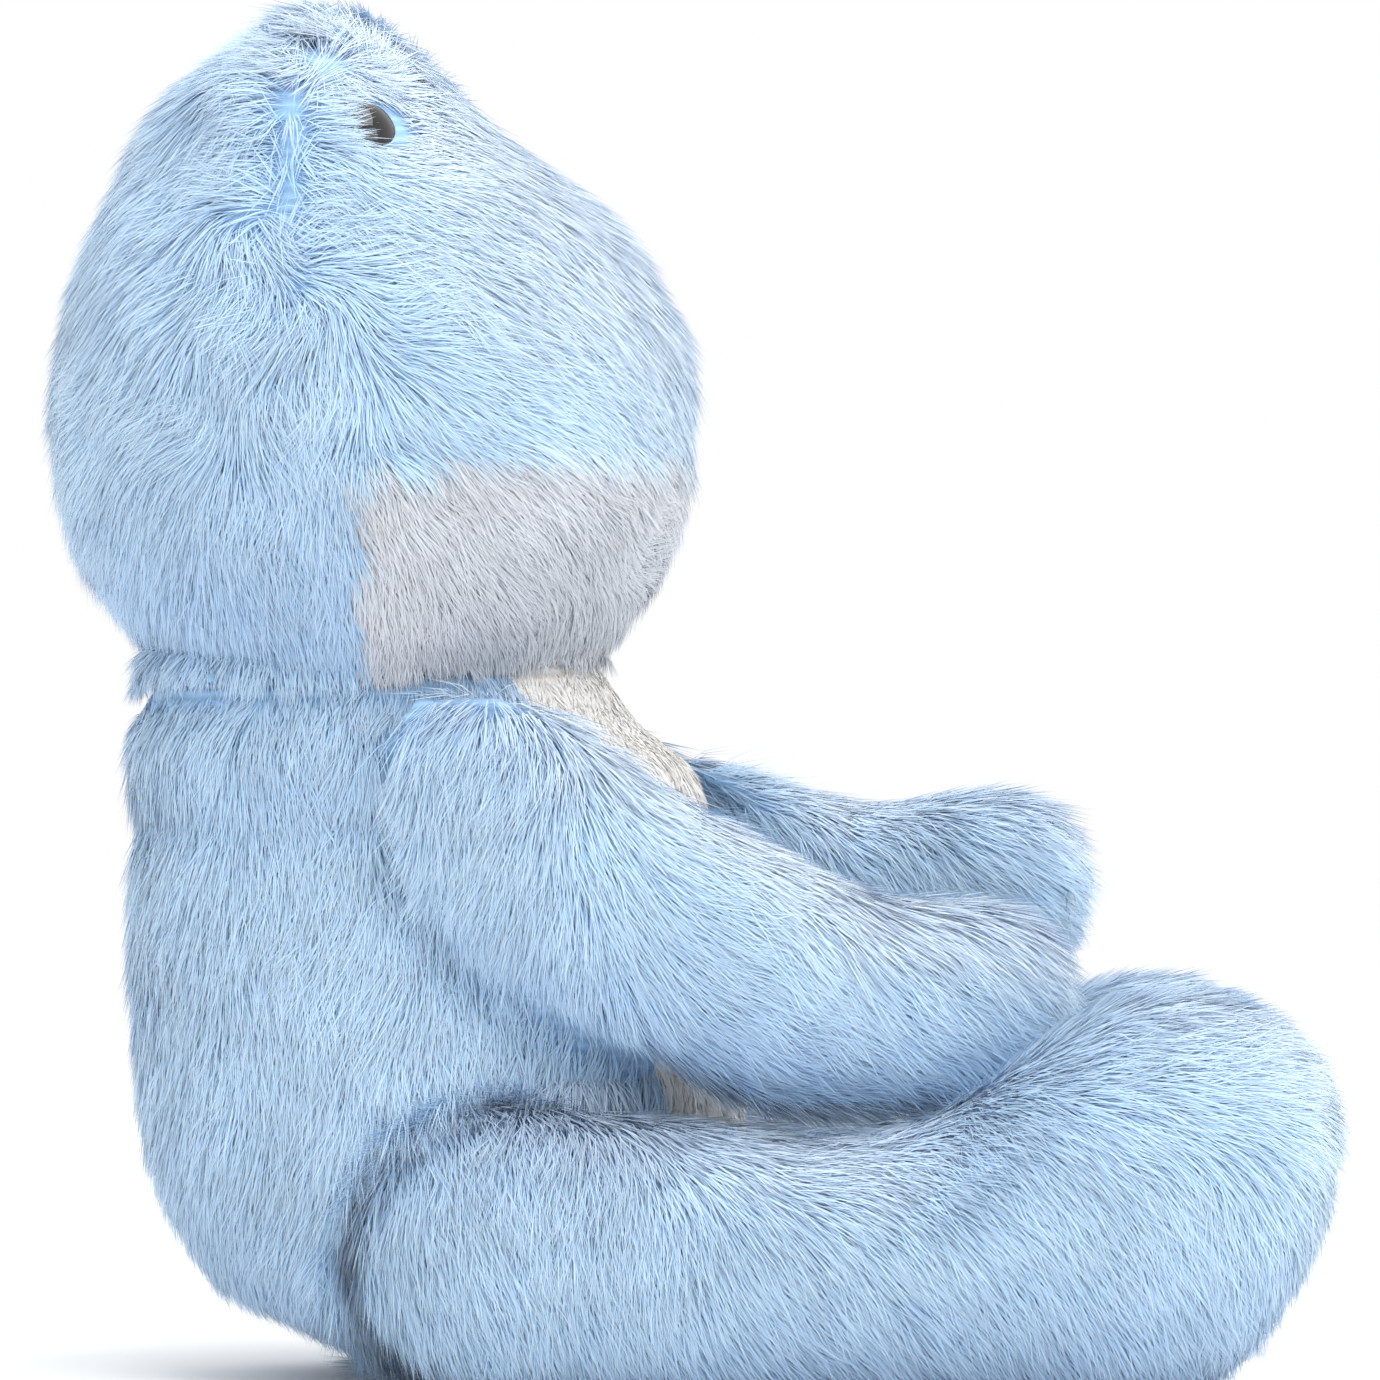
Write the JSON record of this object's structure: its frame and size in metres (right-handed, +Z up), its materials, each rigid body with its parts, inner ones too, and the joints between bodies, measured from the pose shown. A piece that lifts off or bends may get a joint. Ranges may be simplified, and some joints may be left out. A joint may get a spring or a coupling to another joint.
{
  "type": "stuffed dinosaur",
  "caption": "Seated plush dinosaur with a tall rounded head, stub arms held forward and short legs along the floor, in long pile fabric.",
  "frame": {"origin": "middle of the footprint, on the floor it sits on", "axes": "+Z up, the toy faces -Y, and its own right side is -X"},
  "size_m": [0.203, 0.3054, 0.3262],
  "materials": {
    "sky_pile": "matte",
    "white_pile": "matte",
    "cream_pile": "matte",
    "fibre": "matte",
    "eye_black": "gloss",
    "washer_plastic": "matte"
  },
  "bodies": {
    "torso": {"back_panel_left": "sky_pile", "back_panel_right": "sky_pile", "belly_panel": "cream_pile", "seat_panel": "sky_pile", "torso_stuffing": "fibre"},
    "head": {"head_side_left": "sky_pile", "head_side_right": "sky_pile", "head_gusset": "sky_pile", "jaw_panel": "white_pile", "head_stuffing": "fibre", "eye_left": "eye_black", "eye_right": "eye_black", "eye_washer_left": "washer_plastic", "eye_washer_right": "washer_plastic"},
    "arm_left": {"arm_outer_left": "sky_pile", "arm_inner_left": "sky_pile", "arm_stuffing_left": "fibre"},
    "leg_left": {"leg_outer_left": "sky_pile", "leg_inner_left": "sky_pile", "leg_sole_left": "sky_pile", "leg_stuffing_left": "fibre"},
    "arm_right": {"arm_outer_right": "sky_pile", "arm_inner_right": "sky_pile", "arm_stuffing_right": "fibre"},
    "leg_right": {"leg_outer_right": "sky_pile", "leg_inner_right": "sky_pile", "leg_sole_right": "sky_pile", "leg_stuffing_right": "fibre"}
  },
  "joints": [
    {"name": "neck_nod", "type": "hinge", "parent": "torso", "child": "head", "pos_m": [0, 0.0698, 0.127], "axis": [1, 0, 0], "range_deg": [-8, 8]},
    {"name": "shoulder_right", "type": "hinge", "parent": "torso", "child": "arm_right", "pos_m": [-0.049, 0.0468, 0.137], "axis": [-1, 0, 0], "range_deg": [0, 22]},
    {"name": "shoulder_left", "type": "hinge", "parent": "torso", "child": "arm_left", "pos_m": [0.049, 0.0468, 0.137], "axis": [-1, 0, 0], "range_deg": [-12, 10]},
    {"name": "hip_right", "type": "hinge", "parent": "torso", "child": "leg_right", "pos_m": [-0.057, 0.0418, 0.0335], "axis": [0, 0, -1], "range_deg": [0, 7]},
    {"name": "hip_left", "type": "hinge", "parent": "torso", "child": "leg_left", "pos_m": [0.057, 0.0418, 0.0335], "axis": [0, 0, 1], "range_deg": [0, 7]}
  ]
}
